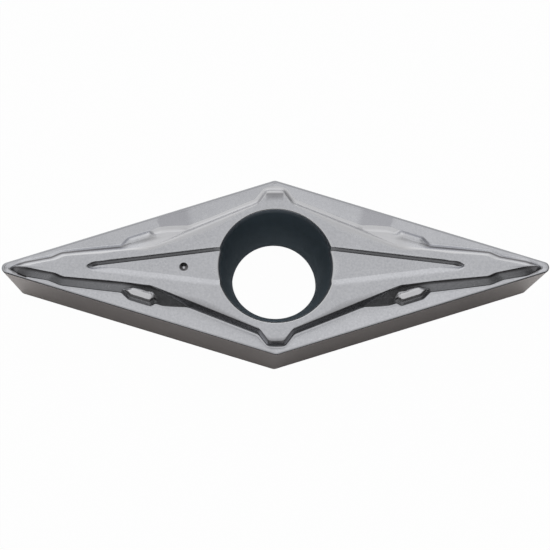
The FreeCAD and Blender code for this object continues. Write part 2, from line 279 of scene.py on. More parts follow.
low = np.full(len(place), THICKNESS - GROOVE_DEPTH - BELOW_FLOOR)
high = np.full(len(place), DECK)
for _ in range(HALVINGS):
    middle = (low + high) / 2
    above = middle > dish(on_wall(middle))
    low, high = np.where(above, low, middle), np.where(above, middle, high)
foot_level = (low + high) / 2
foot_rail = on_wall(foot_level)
print("wall foot between", foot_level.min().round(3), "and", foot_level.max().round(3), "mm up")

# %% [markdown]
# ## The shelf's ramp
# Behind each lug the wall isn't one slope: a ramp rises from the foot to the deck's kink, and a steep
# cliff climbs from the ramp to the deck edge behind the kink. Seen from above the ramp is the dark
# triangle of the photo. So one more rail runs between foot and deck. From the kink to the end of the
# shelf it is the line where ramp and cliff meet, and elsewhere it is a point on the plain wall.
#
# The slope of the ramp is the wall's own slope at the kink, and the cliff's is the wall's at the end of
# the shelf. In between, how far each reaches follows from the height and the run that they share.

# %% The rail between ramp and cliff
KINK, SHELF = 5, 6
RAMP_ENDS, RAMP_FADE = (0.93, 0.07), 0.4


def ease(values):
    """Smooth step from 0 to 1."""
    values = np.clip(values, 0, 1)
    return values * values * (3 - 2 * values)


in_quarter = CORNERS - np.abs(place % (2 * CORNERS) - CORNERS)
(start_x, start_y), (end_x, end_y) = wall_kink, wall_shelf
shelf_length = math.hypot(end_x - start_x, end_y - start_y)


def off_shelf(points):
    """Distance in plan from the line that joins the shelf's two corners on the wall outline."""
    x, y = np.abs(points).T
    return np.abs((end_x - start_x) * (y - start_y) - (end_y - start_y) * (x - start_x)) / shelf_length


run = off_shelf(deck_rail) + off_shelf(foot_rail)
steepness = (DECK - foot_level) / run
ramp_slope, cliff_slope = (float(steepness[place == corner][0]) for corner in (KINK, SHELF))
share = np.clip((cliff_slope - steepness) / (cliff_slope - ramp_slope), RAMP_ENDS[1], RAMP_ENDS[0])
share = np.where(in_quarter <= KINK, RAMP_ENDS[0], np.where(in_quarter >= SHELF, RAMP_ENDS[1], share))
off_ramp = ease(np.maximum(KINK - in_quarter, in_quarter - SHELF) / RAMP_FADE)
share += (0.5 - share) * off_ramp
on_shelf = (in_quarter > KINK) & (in_quarter < SHELF)
ramp_level = foot_level + np.where(on_shelf, ramp_slope * run, DECK - foot_level) * share
ramp_rail = foot_rail + (deck_rail - foot_rail) * share[:, None]
print("the ramp climbs at", round(math.degrees(math.atan(ramp_slope)), 1), "degrees")

# %% [markdown]
# ## Pockets
# Two shallow wedges are sunk in the deck, open to the hole. Each has a rim rail at deck level and a
# floor rail lower down and further in. The side wall towards the camera is the gentler one: in the
# photo it is a broad bright band, and the other one is a narrow dark line. The CAD model has the same
# wall on both sides, in between the two, and its pocket has a slightly blunter tip.
#
# The hole is turned: its radius is a function of height alone. A wedge ends where it meets the hole.

# %% Corners of the pockets
POCKET_DEPTH, POCKET_TIP, FAR_RUN, NEAR_RUN = 0.16, SHARP_NOSE - 5.46, 0.19, 0.32
POCKET_TIP_HALF, POCKET_HALF_ANGLE = 0.21, math.radians(7.0)
FLOOR_TIP, FLOOR_TIP_HALF = POCKET_TIP - 0.07, 0.02
RIM_STOPS, FLOOR_STOPS = (9.9, 9.4, 6.6, 4.7, 3.55), (9.8, 9.2, 6.4, 4.5)
RIM_GAP = 0.08


def hole_radius(z):
    """Radius of the hole at a height: a cone at the seat, straight, then an arc, like a trumpet."""
    cone = np.clip(1 - z / CONE_TOP, 0, None) * (SEAT_HOLE_RADIUS - HOLE_RADIUS)
    rise = np.clip(z - STRAIGHT_TOP, 0, None)
    return HOLE_RADIUS + cone + FLARE_RADIUS - np.sqrt(FLARE_RADIUS ** 2 - rise ** 2)


def wedge(tip_x, tip_half, inset, stops, radius):
    """Quarter corners of a wedge that lies in from the pocket's sides by an inset: a blunt tip, stops
    along its side, and where it meets a circle. The tip's corners lie 0.02 and 0.24 mm behind it, at
    0.3 and 1.1 of its half width."""
    slope = math.tan(POCKET_HALF_ANGLE)
    start = POCKET_TIP_HALF + slope * POCKET_TIP - inset
    a, b, c = 1 + slope ** 2, -2 * slope * start, start ** 2 - radius ** 2
    meet_x = (-b + math.sqrt(b * b - 4 * a * c)) / (2 * a)
    blunt = [(tip_x, 0, 0), (tip_x - 0.02, 0.3 * tip_half, 0), (tip_x - 0.24, 1.1 * tip_half, tip_half)]
    return blunt + [(x, max(start - slope * x, tip_half), 0) for x in stops + (meet_x,)]


floor_ring, rim_ring = hole_radius(DECK - POCKET_DEPTH) + RIM_GAP, hole_radius(DECK) + 2 * RIM_GAP
rim_wedge = wedge(POCKET_TIP, POCKET_TIP_HALF, 0, RIM_STOPS, rim_ring)
far_wedge, near_wedge = (wedge(FLOOR_TIP, FLOOR_TIP_HALF, inset, FLOOR_STOPS, floor_ring)
                         for inset in (FAR_RUN, NEAR_RUN))
print("pocket", round(rim_wedge[0][0] - rim_wedge[-1][0], 2), "mm long to where its side meets the hole")

# %% [markdown]
# ## Columns round the hole
# Every column ends in the hole, at an angle round its axis. The angles are spread so that two columns
# of each quarter come out exactly where the pocket's floor and its rim meet the hole. Beyond those the
# rails of the pocket run round the hole instead, close together, and become the soft rim of the hole.

# %% Rails of the pockets and of the hole
ANGLES_BEFORE, ANGLES_AFTER = (0, 1.2, 2.6, 4.4, 6.6, 9.4, 12.2), (63, 78, 90)
FIRST_MARK, SECOND_MARK = 7, 8


def quarter_angles(wedge_corners):
    """Angles round the hole of a quarter's corners. Two of them are where floor and rim meet it."""
    first, second = (math.atan2(corners[-1][1], corners[-1][0]) for corners in (wedge_corners, rim_wedge))
    return np.concatenate([np.radians(ANGLES_BEFORE), [first, second], np.radians(ANGLES_AFTER)])


def turned(place):
    """Angle round the hole axis of each column. Both far quarters come first, then both near ones."""
    halves = []
    for knots in (quarter_angles(far_wedge), quarter_angles(near_wedge)):
        halves.append(np.concatenate([knots[:-1], math.pi - knots[:0:-1]]))
    loop = np.concatenate([halves[0], halves[1] + math.pi, [2 * math.pi]])
    return np.interp(place, np.arange(len(loop)), loop)


def filled_up(corners):
    """A wedge's corners, filled up to a whole quarter. The filling is never used."""
    return corners + [(0.0, 3.0 + k, 0) for k in range(CORNERS + 1 - len(corners))]


def wedge_or_ring(corners, gap, mark):
    """The wedge's rail up to a mark, and from there a ring round the hole's rim at a gap."""
    ring = round_hole * (hole_radius(hole_level) + gap)[:, None]
    return np.where((in_quarter <= mark)[:, None], rail(filled_up(corners), place), ring)


angle = turned(place)
round_hole = np.stack([np.cos(angle), np.sin(angle)], axis=1)
hole_level = DECK - POCKET_DEPTH + np.clip(in_quarter - FIRST_MARK, 0, 1) * POCKET_DEPTH
hole_rim = round_hole * hole_radius(hole_level)[:, None]
pocket_rim = wedge_or_ring(rim_wedge, 2 * RIM_GAP, SECOND_MARK)
far_floor = wedge_or_ring(far_wedge, RIM_GAP, FIRST_MARK)
near_floor = wedge_or_ring(near_wedge, RIM_GAP, FIRST_MARK)
pocket_floor = np.where(far_floor[:, 1:] < 0, near_floor, far_floor)
meeting = np.degrees(quarter_angles(near_wedge)[FIRST_MARK]).round(1)
print("the near side of the pocket's floor meets the hole at", meeting, "degrees")

# %% [markdown]
# ## One skin
# Each column is now a short chain of points, from the seat up the flank, over the cutting edge, down
# the rake, up the wall, across the deck, into the pocket and down the hole. The chain is carried along
# the outline: its straight runs get rows of their own and every bend is rounded with the same weighted
# arc as a rail's corners. The reach at a bend says how soft that edge is on the real object.
#
# The photo shows the far side softer than the near one. Past the lug the far wall is one soft band, and
# the near deck rim is sharp, so the reaches there change with the place round the outline.

# %% How soft the edges are
PAST_LUG, LUG_FADE = 4.4, 0.6
DECK_SOFT, FAR_SOFTER, NEAR_SHARPER = 0.12, 0.04, 0.09
RAKE_SOFT, WALL_SOFT, FAR_FOOT_SOFTER = 0.09, 0.06, 0.12
RAMP_SOFT, OFF_RAMP_SOFTER = 0.012, 0.04

far_side = place < 2 * CORNERS
past_lug = ease((in_quarter - PAST_LUG) / LUG_FADE)
deck_far, deck_near = DECK_SOFT + FAR_SOFTER * past_lug, DECK_SOFT - NEAR_SHARPER * past_lug
deck_reach = np.where(far_side, deck_far, deck_near)[:, None]
softer = np.where(far_side, FAR_FOOT_SOFTER, 0)[:, None] * past_lug[:, None]
rake_reach, wall_reach = RAKE_SOFT + softer, WALL_SOFT + softer
ramp_reach = (RAMP_SOFT + OFF_RAMP_SOFTER * off_ramp)[:, None]
print("the deck's rim reaches", deck_reach.min().round(3), "to", deck_reach.max().round(3), "mm")

# %% [markdown]
# ## Tools for the chain
# A corner of the profile is a whole row of points, one for each column, so a bend is rounded for all
# columns at once. Whole arrays do that in one line, where a loop over the columns would be slow.

# %% Heights, spacing and a rounded bend


def lifted(points, level):
    """Plan points with a height, which may differ from column to column."""
    return np.dstack([points[:, 0], points[:, 1], np.broadcast_to(level, len(points))])[0]


def spread(count):
    """Shares strictly between 0 and 1, closer together towards both ends."""
    even = np.arange(1, count + 1) / (count + 1)
    return 0.5 * even + 0.25 * (1 - np.cos(math.pi * even))


def bend(before, corner, after, reach, count):
    """Rows of the arc that rounds a chain at one corner, both ends included. The reach is given for
    the side before and the side after the corner; neither takes more than MOST_OF_SIDE of its side."""
    to_before, to_after = before - corner, after - corner
    length_before, length_after, weight = corner_sizes(to_before, to_after)
    start = corner + to_before * np.minimum(reach[0] / length_before, MOST_OF_SIDE)
    end = corner + to_after * np.minimum(reach[1] / length_after, MOST_OF_SIDE)
    return arc(start, corner, end, weight, np.linspace(0, 1, count)[:, None, None])


print("four rows on a straight run lie at", spread(4).round(2))

# %% [markdown]
# ## The chain, link by link
# Each link is a corner of the profile, then the reach of its bend before and after it, the rows of that
# bend, and where the rows lie on the straight run to the next link. The rows of the pocket's floor are
# packed where the dimple will be.

# %% The chain of points
DIMPLE_ROWS = np.linspace(0.63, 0.79, 32)
pit_rows = np.concatenate([[0.03, 0.10, 0.2, 0.32, 0.44, 0.55], DIMPLE_ROWS, [0.86, 0.95]])
chain = [
    (lifted(round_hole * SEAT_HOLE_RADIUS, 0), (0.04, 0.04), 2, spread(4)),
    (lifted(seat_rail, 0), (0.06, 0.06), 3, spread(8)),
    (lifted(edge_rail, THICKNESS - edge_drop), (0.012, 0.012), 3, spread(1)),
    (lifted(crest_rail, THICKNESS), (0.03, 0.09), 6, spread(20)),
    (lifted(foot_rail, foot_level), (rake_reach, wall_reach), 5, spread(7)),
    (lifted(ramp_rail, ramp_level), (ramp_reach, ramp_reach), 3, spread(2)),
    (lifted(deck_rail, DECK), (deck_reach, deck_reach), 6, spread(2)),
    (lifted(pocket_rim, DECK), (0.14, 0.10), 6, spread(2)),
    (lifted(pocket_floor, hole_level), (0.10, 0.20), 6, pit_rows),
    (lifted(hole_rim, hole_level), (0.06, 0.06), 5, ()),
]
print("links in the chain:", len(chain))

# %% [markdown]
# ## Stretch the skin
# Each link is bent between its two neighbours, and the straight runs are filled in between the bends.
# The hole below its rim needs no bends, only a row at each level, because its formula is smooth.

# %% Round the bends and stack the rows
FLARE_ROWS = 12
STRAIGHT_LEVELS = (1.1, CONE_TOP, 0.5, 0.2)
flare_shares = np.linspace(0, 1, FLARE_ROWS + 1)[1:]
flare_levels = [hole_level + (STRAIGHT_TOP - hole_level) * share for share in flare_shares]
straight_levels = [np.full(len(place), level) for level in STRAIGHT_LEVELS]
hole_rows = [lifted(round_hole * hole_radius(z)[:, None], z) for z in flare_levels + straight_levels]

corners = [link[0] for link in chain]
bends = []
for before, link, after in zip([hole_rows[-1]] + corners, chain, corners[1:] + [hole_rows[0]]):
    bends.append(bend(before, link[0], after, link[1], link[2]))
strips = [bends[0]]
for link, bent, next_bent in zip(chain, bends, bends[1:]):
    start, end = bent[-1], next_bent[0]
    strips += [start + (end - start) * np.array(link[3])[:, None, None], next_bent]
skin = np.concatenate(strips + [np.stack(hole_rows)])
print("rows and columns of the skin:", skin.shape[:2])

# %% [markdown]
# ## Names for the strips
# The skin is a stack of strips: each bend of the chain, and each straight run between two bends. Given
# a name each, they say which rows are rake, wall or deck when shapes and finishes are added to them.

# %% Which rows belong to which strip
STRIPS = ("hole foot", "seat", "seat edge", "flank", "edge", "hone", "crest", "rake", "foot", "ramp",
          "ramp top", "cliff", "deck rim", "deck", "pocket rim", "pocket wall", "floor edge",
          "pocket floor", "hole rim")
ends = dict(zip(STRIPS, np.cumsum([len(strip) for strip in strips])))
starts = {name: ends[name] - len(strip) for name, strip in zip(STRIPS, strips)}
row = np.arange(len(skin))[:, None]


def on_strips(first, last):
    """True for the rows from one strip to another, both included."""
    return (row >= starts[first]) & (row < ends[last])


print("the rake has rows", starts["rake"], "to", ends["rake"] - 1)

# %% [markdown]
# ## Rake, chip lugs and the witness dimple
# The rows of the rake are set down on the dish. The four chip lugs are long low bumps in line with the
# cutting edges, which curl the chip. They are a height: a top at one level, sides that fall with a
# draft of 38 degrees, and a soft crease where they meet the skin. The two far lugs fall more gently
# towards the deck and run softly into the wall, as the photo shows them. The dimple is a small pit in
# one pocket's floor, left by a pin of the pressing die. Its floor is smaller than in the CAD model, and
# it is 0.02 mm deeper, so that its ring shows. The skin is moved up or down there, and nowhere
# sideways, so it stays one closed surface.

# %% Heights added to the skin
LUG_BACK, LUG_INSET, LUG_TOP = 8.46, 1.03, THICKNESS + 0.20
LUG_DRAFT = math.radians(38.0)
LUG_CORNERS = ((0.76, 0), (0.49, 0.17), (-0.57, 0.17), (-0.77, -0.10), (-0.57, -0.17), (0.49, -0.17))
LUG_CREASE, FAR_RIM_SOFT, NEAR_RIM_SOFT = 0.03, 0.14, 0.06
FAR_SLOPE, FAR_SLOPE_OVER = 0.4, 0.3
DIMPLE_X, DIMPLE_RADIUS, DIMPLE_FLOOR, DIMPLE_DEPTH = -5.06, 0.26, 0.05, 0.12


def lug_height(x, y):
    """Height of the lug: its top, less the distance outside its six-sided top over the draft's slope.
    The top's corners are given towards the nose and towards the edge, counterclockwise. On the far side
    the distance counts only FAR_SLOPE of itself towards the deck."""
    centre_x, centre_y = from_nose(LUG_BACK, LUG_INSET)
    dx, dy = np.abs(x) - centre_x, np.abs(y) - centre_y
    to_nose = dx * math.cos(HALF_POINT) - dy * math.sin(HALF_POINT)
    to_edge = dx * math.sin(HALF_POINT) + dy * math.cos(HALF_POINT)
    outside = np.full_like(x, -1.0)
    for (a, b), (next_a, next_b) in zip(LUG_CORNERS, LUG_CORNERS[1:] + LUG_CORNERS[:1]):
        length = math.hypot(next_a - a, next_b - b)
        beyond = ((next_b - b) * (to_nose - a) - (next_a - a) * (to_edge - b)) / length
        outside = soft_max(outside, beyond, LUG_CREASE)
    edgeward = ease((to_edge + FAR_SLOPE_OVER / 2) / FAR_SLOPE_OVER)
    outside = np.where(y > 0, outside * (FAR_SLOPE + (1 - FAR_SLOPE) * edgeward), outside)
    softness = np.where(y > 0, FAR_RIM_SOFT, NEAR_RIM_SOFT)
    return LUG_TOP - soft_max(outside, 0 * outside, softness) / math.tan(LUG_DRAFT)


x, y, z = skin[..., 0], skin[..., 1], skin[..., 2]
rake = slice(starts["rake"], ends["rake"])
z[rake] = dish(skin[rake])
bumpy = slice(starts["rake"], ends["cliff"])
z[bumpy] = soft_max(z[bumpy], lug_height(x[bumpy], y[bumpy]), LUG_CREASE)
floor_rows = slice(starts["pocket floor"], ends["pocket floor"])
from_dimple = np.hypot(x[floor_rows] - DIMPLE_X, y[floor_rows])
sunk = np.clip((DIMPLE_RADIUS - from_dimple) / (DIMPLE_RADIUS - DIMPLE_FLOOR), 0, 1)
# The side of the pit is half a cone and half a smooth step.
z[floor_rows] -= DIMPLE_DEPTH * 0.5 * (sunk + ease(sunk))
print("lug top at", lug_height(x[bumpy], y[bumpy]).max().round(3), "mm")

# %% [markdown]
# ## From the grid to a mesh
# The grid closes on itself both ways, round the outline and round the profile, so the mesh is a ring
# without any seam or pole. Each cell of the grid is one four-sided face, wound so that it looks out.

# %% Make the mesh


def closed_grid(points, name):
    """Mesh of a grid that wraps both ways: face (i, j) joins rows i and i+1, columns j and j+1."""
    count_rows, count_columns = points.shape[:2]
    i = np.arange(count_rows)[:, None]
    j = np.arange(count_columns)[None, :]
    next_i, next_j = (i + 1) % count_rows, (j + 1) % count_columns
    faces = np.stack([i * count_columns + j, i * count_columns + next_j,
                      next_i * count_columns + next_j, next_i * count_columns + j], axis=-1)
    mesh = bpy.data.meshes.new(name)
    mesh.from_pydata(points.reshape(-1, 3) * MM, [], faces.reshape(-1, 4))
    mesh.polygons.foreach_set("use_smooth", np.ones(len(mesh.polygons), bool))
    mesh.update()
    return mesh


insert_mesh = closed_grid(skin, "insert_skin")
insert = bpy.data.objects.new("insert_skin", insert_mesh)
bpy.context.scene.collection.objects.link(insert)
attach(insert, "root")
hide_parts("insert")
print("faces:", len(insert_mesh.polygons))

# %% [markdown]
# ## Where each finish lies: the faces
# One powder body leaves the press, but its faces end up with different finishes. The top is blasted to
# a light satin. The flanks and the seat are ground, which leaves a browner grey with fine lines along
# the edge; towards the noses they are painted paler, as painted light where the flank turns sideways.
# The bore keeps the dark coating, because neither blast nor wheel reaches it. The hone is brushed.
#
# A finish could be painted by hand, but that would have to be done again after each change of a shape.
# The rows of the grid know which face they lie on, so each finish is worked out as a number from 0 to 1
# for every point.

# %% Masks of the ground, coated and brushed faces
BORE_FADE = 0.25
PALE_FROM, PALE_OVER = 10.5, 4
ground = on_strips("hole foot", "edge")
# Painted light: the flank is painted paler towards the noses, where it turns sideways to the light.
nose_flank_light = np.where(row < ends["edge"] + 1, ease((np.abs(x) - PALE_FROM) / PALE_OVER), 0)
in_bore = ease((hole_level - z) / BORE_FADE)
bore = np.where(row >= ends["hole rim"], in_bore, on_strips("hole foot", "hole foot"))
# The hone starts with the last row of the edge's bend and stops two rows before the crest's ends.
honed = (row >= ends["edge"] - 1) & (row < ends["crest"] - 2)
print("rows ground:", int(ground.sum()), "and rows brushed:", int(honed.sum()))

# %% [markdown]
# ## Where light and shade are painted: the breaker wall
# The wall's light and shade are painted into its colour. On the near side a line of painted shade lies
# under the deck's rim, and painted shade darkens the wall at the noses and past the shelf. On the far side
# a line of painted shade lies half-way up and ends before the lug. Past the lug the far wall is one pale,
# matt band of painted highlight, and the far rim of the deck and the rim of the hole are painted pale as
# highlight. Each line is found by its distance, which is measured from the column's own point on that
# line.

# %% Masks of the lines of painted shade and painted highlight
DARK_UP_FAR, DARK_UP_NEAR, DARK_WIDTH, DARK_NEAR = 0.5, 0.9, 0.11, 0.8
DARK_ENDS, DARK_FADE, DARK_GOES = 3.9, 0.4, 0.95
NOSE_DARK, NOSE_ENDS, NOSE_FADE = 0.7, 1.4, 0.8
SHELF_DARK, SHELF_FROM, SHELF_FADE = 0.5, 0.6, 0.5
RIM_WIDTH, HOLE_RIM_WIDTH, FAR_WALL_PALE = 0.10, 0.07, 0.8


def beside(distance, width):
    """1 up to 0.3 of a width from a line, and from there softly down to 0 at 1.3 widths."""
    return ease(1.3 - distance / width)


def from_line(line, level):
    """Distance of each point of the skin from its column's point on a line at a level."""
    return np.hypot(np.hypot(x - line[:, 0], y - line[:, 1]), z - level)


def together(mask, more):
    """A mask with more of it: the rest that the mask leaves, times what is added."""
    return mask + more * (1 - mask)


# Painted shade: dark lines along the breaker wall, under the near rim and half-way up the far wall.
up_wall = np.where(far_side, DARK_UP_FAR, DARK_UP_NEAR)
dark_rail = foot_rail + (deck_rail - foot_rail) * up_wall[:, None]
dark_level = foot_level + (DECK - foot_level) * up_wall
painted_shade = np.where(on_strips("rake", "deck"), beside(from_line(dark_rail, dark_level), DARK_WIDTH), 0)
painted_shade *= np.where(far_side, 1 - DARK_GOES * ease((in_quarter - DARK_ENDS) / DARK_FADE), DARK_NEAR)
at_nose = ease((NOSE_ENDS - in_quarter) / NOSE_FADE) * (1 - far_side)
past_shelf = ease((in_quarter - KINK - SHELF_FROM) / SHELF_FADE) * (1 - far_side)
whole_wall = on_strips("foot", "deck rim")
# More painted shade on the near wall at the noses, and on the ramp top and cliff past the shelf.
painted_shade = together(painted_shade, np.where(whole_wall, NOSE_DARK * at_nose, 0))
painted_shade = together(painted_shade, np.where(on_strips("ramp top", "cliff"), SHELF_DARK * past_shelf, 0))

# Painted highlight: the far rim of the deck, the far wall past the lug and the rim of the hole are painted
# pale.
from_hole = np.hypot(np.hypot(x, y) - hole_radius(hole_level), z - hole_level)
painted_highlight = np.where(on_strips("ramp", "deck"), beside(from_line(deck_rail, DECK), RIM_WIDTH), 0) * far_side
painted_highlight = together(painted_highlight, np.where(whole_wall, FAR_WALL_PALE * far_side * past_lug, 0))
painted_highlight += np.where(row >= starts["pocket floor"], beside(from_hole, HOLE_RIM_WIDTH), 0)
matted = np.where(on_strips("ramp", "deck rim"), far_side * past_lug, 0)
print("darkest crease:", painted_shade.max().round(2), "and palest rim:", painted_highlight.max().round(2))

# %% [markdown]
# ## Where each finish lies: lugs, dimple and patches of painted shade
# The near lugs carry painted highlight on top and a ring of painted shade round them, the far ones
# hardly stand out. The dimple has a ring of painted shade. The rake beside the far shelves is drawn
# darker, the far tab has a small patch of painted shade, and the left nose has a patch of painted shade
# at its near cutting edge.

# %% Masks of the lugs, the dimple and the patches of painted shade
LUG_SKIN, FAR_LUG_PALE, NEAR_LUG_PALE = 0.03, 0.1, 0.6
SIDE_BELOW, SIDE_FADE, SIDE_DARK = 0.02, 0.04, 0.2
RING_BELOW, RING_FADE, RING_DARK = 0.16, 0.08, 0.8
DIMPLE_LINE = 0.04
DARK_RAKE_FROM, DARK_RAKE_TO, NOSE_PATCH_FROM, NOSE_PATCH_TO = 9.70, 11.75, 1.62, 2.18
MARK_RISE, DARK_RAKE_FALL, NOSE_PATCH_FALL = 0.06, 0.5, 0.03
TAB_SHADE_X, TAB_SHADE_Y, TAB_SHADE_WIDE, TAB_SHADE_HIGH, TAB_SHADE_FADE = -0.02, 4.04, 0.42, 0.06, 0.10

lug_x, lug_y, lug_z = x[bumpy], y[bumpy], z[bumpy]
# Painted highlight on the lug tops, strong on the near lugs, and painted shade on the near lugs' sides and
# in a ring round them.
on_lug = ease(1.0 - np.abs(lug_height(lug_x, lug_y) - lug_z) / LUG_SKIN)
lug_side = ease((LUG_TOP - SIDE_BELOW - lug_z) / SIDE_FADE)
lug_ring = lug_side * ease((lug_z - LUG_TOP + RING_BELOW) / RING_FADE)
painted_highlight[bumpy] += on_lug * (1 - lug_side) * np.where(lug_y > 0, FAR_LUG_PALE, NEAR_LUG_PALE)
painted_shade[bumpy] += on_lug * (SIDE_DARK * lug_side + RING_DARK * lug_ring) * (lug_y < 0)
# Painted shade: a dark ring inside the dimple's pit.
dimple_ring = np.minimum(DIMPLE_RADIUS - from_dimple, from_dimple - DIMPLE_FLOOR)
painted_shade[floor_rows] = ease(dimple_ring / DIMPLE_LINE)

along_edge = (SHARP_NOSE - np.abs(x)) * math.cos(HALF_POINT) + np.abs(y) * math.sin(HALF_POINT)
# The rake beside the far shelves is drawn darker.
darker_rake = ease((along_edge - DARK_RAKE_FROM) / MARK_RISE) * ease((DARK_RAKE_TO - along_edge) / DARK_RAKE_FALL)
darker_rake = np.where((row >= ends["crest"] - 3) & (row < ends["foot"]), darker_rake, 0) * far_side
# Painted shade: a dark patch at the left nose's near cutting edge, in front of the ridge.
nose_patch_shade = ease((along_edge - NOSE_PATCH_FROM) / MARK_RISE) * ease((NOSE_PATCH_TO - along_edge) / NOSE_PATCH_FALL)
nose_patch_shade = nose_patch_shade * (x < 0) * (y < 0)
painted_shade += np.where((row >= ends["crest"] - 1) & (row < ends["foot"]), nose_patch_shade, 0)
# Painted shade: a small dark patch on the far tab.
off_tab_shade = np.maximum(np.abs(x - TAB_SHADE_X) - TAB_SHADE_WIDE, np.abs(y - TAB_SHADE_Y) - TAB_SHADE_HIGH)
tab_shade = np.where(on_strips("deck rim", "pocket wall"), ease(1 - off_tab_shade / TAB_SHADE_FADE), 0)
print("the patch beside the shelf lies", DARK_RAKE_FROM, "to", DARK_RAKE_TO, "mm from the nose")

# %% [markdown]
# ## Store the finishes and the painted light and shade
# A material can't see numpy arrays, but it can read an attribute of the mesh, which holds one number
# for every point. An image texture would need a UV map; attributes need none.

# %% Store the masks on the points of the mesh
finishes_and_painted_light = {
    "ground": ground, "bore": bore, "honed": honed, "painted_shade": painted_shade, "painted_highlight": painted_highlight,
    "darker_rake": darker_rake, "tab_shade": tab_shade, "nose_flank_light": nose_flank_light, "matted": matted,
}
for name, values in finishes_and_painted_light.items():
    values = np.broadcast_to(values, skin.shape[:2]).astype(np.float32)
    layer = insert_mesh.attributes.new(name, "FLOAT", "POINT")
    layer.data.foreach_set("value", values.ravel())
    print(name, "covers", int((values > 0.5).sum()), "points")

# %% [markdown]
# ## Nodes
# A material is a tree of nodes. One small function adds a node of any kind, sets it up and links it, so
# that a tree can be written down from its patterns to its shader.

# %% Two helpers for node trees, and one for colours
TIMES, TIMES_PLUS, COLOURS = {"operation": "MULTIPLY"}, {"operation": "MULTIPLY_ADD"}, {"data_type": "RGBA"}


def linear(code):
    """sRGB hex colour as linear red, green, blue and alpha."""
    parts = [int(code[k:k + 2], 16) / 255 for k in (1, 3, 5)]
    return [p / 12.92 if p <= 0.04045 else ((p + 0.055) / 1.055) ** 2.4 for p in parts] + [1.0]


def new_tree(material):
    """Empties a material's or world's node tree and returns it."""
    material.use_nodes = True
    material.node_tree.nodes.clear()
    return material.node_tree


def add(tree, kind, settings=None, **inputs):
    """Adds a node, sets its properties and inputs, and returns it. An input is given by its name, or by
    _ and its number. A socket is linked to it, and anything else becomes its value."""
    node = tree.nodes.new(kind)
    for key, value in (settings or {}).items():
        setattr(node, key, value)
    for key, value in inputs.items():
        socket = node.inputs[int(key[1:]) if key[1:].isdigit() else key.replace("_", " ")]
        if isinstance(value, bpy.types.NodeSocket):
            tree.links.new(value, socket)
        else:
            socket.default_value = value
    return node


print("light satin is", [round(part, 3) for part in linear("#E6E7EB")[:3]], "in linear light")

# %% [markdown]
# ## Patterns of the carbide
# All patterns are noise laid out in millimetres, from the object's own coordinates. The pits of the
# blast are about 0.02 mm wide, which is finer than a pixel, so their grain is drawn 0.13 mm wide. The
# cloudy patches are 2 to 3 mm across. The lines of the grinding wheel are about 0.01 mm apart; they are
# drawn 0.04 mm apart up the flank and 2.5 mm long, by stretching a noise of 0.5 mm.

# %% Patterns and masks that the material reads
PATTERNS = {"grain": (0.13, (1, 1, 1)), "clouds": (2.5, (1, 1, 1)), "lines": (0.5, (0.2, 0.2, 12))}
carbide = bpy.data.materials.new("cemented_carbide")
tree = new_tree(carbide)
coordinates = add(tree, "ShaderNodeTexCoord").outputs["Object"]
patterns = []
for size, stretch in PATTERNS.values():
    scale = tuple(share / size / MM for share in stretch)
    laid = add(tree, "ShaderNodeMapping", Vector=coordinates, Scale=scale).outputs[0]
    patterns.append(add(tree, "ShaderNodeTexNoise", Vector=laid, Scale=1.0, Detail=3.0).outputs[0])
grain, clouds, lines = patterns
masks = {}
for name in finishes_and_painted_light:
    masks[name] = add(tree, "ShaderNodeAttribute", {"attribute_name": name}).outputs["Fac"]
print("patterns:", len(patterns), "and masks:", len(masks))

# %% [markdown]
# ## Colour of the carbide
# Cemented carbide is tungsten carbide grains held by cobalt, pressed and sintered, so it is a metal to
# the eye: a light grey one with soft reflections, darker and bluer where it keeps its coating and a
# little browner where it is ground. Each finish is laid over the ones before it, as strongly as its
# mask and the number beside it say.

# %% Colour, layer by layer
cloudy = add(tree, "ShaderNodeMath", TIMES, _0=clouds, _1=0.3).outputs[0]
mottle = add(tree, "ShaderNodeMath", TIMES_PLUS, _0=grain, _1=0.7, _2=cloudy).outputs[0]
top = add(tree, "ShaderNodeMix", COLOURS, _0=mottle, _6=linear("#B4B5BA"), _7=linear("#E6E7EB")).outputs[2]
flank = add(tree, "ShaderNodeMix", COLOURS, _0=lines, _6=linear("#A89E9B"), _7=linear("#CCC3C0")).outputs[2]
# Painted light: the flank grows paler towards the noses.
paler = add(tree, "ShaderNodeMath", TIMES, _0=masks["nose_flank_light"], _1=0.7).outputs[0]
flank = add(tree, "ShaderNodeMix", COLOURS, _0=paler, _6=flank, _7=linear("#F2EAE6")).outputs[2]
coat = add(tree, "ShaderNodeMix", COLOURS, _0=clouds, _6=linear("#707D86"), _7=linear("#8D9BA5")).outputs[2]
# Not every layer is a finish: the palest grey is painted highlight, the two darkest greys are painted
# shade, and the first layer darkens the rake beside the far shelves.
LAYERS = (
    ("darker_rake", 0.5, linear("#A6A6AC")),
    ("painted_highlight", 1.0, linear("#E8E8EA")),
    ("tab_shade", 0.8, linear("#8E8E92")),
    ("ground", 1.0, flank),
    ("bore", 1.0, coat),
    ("honed", 1.0, linear("#B4B5B9")),
    ("painted_shade", 0.85, linear("#5E5B5D")),
)
colour = top
for name, strength, finish in LAYERS:
    cover = add(tree, "ShaderNodeMath", TIMES, _0=masks[name], _1=strength).outputs[0]
    colour = add(tree, "ShaderNodeMix", COLOURS, _0=cover, _6=colour, _7=finish).outputs[2]
print("layers of colour:", len(LAYERS))

# %% [markdown]
# ## Gloss and relief of the carbide
# The satin top has a roughness of 0.20 to 0.30, with the grain. The rims with painted highlight and the
# far wall are duller, and the coated bore is dullest. A fine bump gives the grain of the blast, and the
# lines of the wheel on the ground faces.

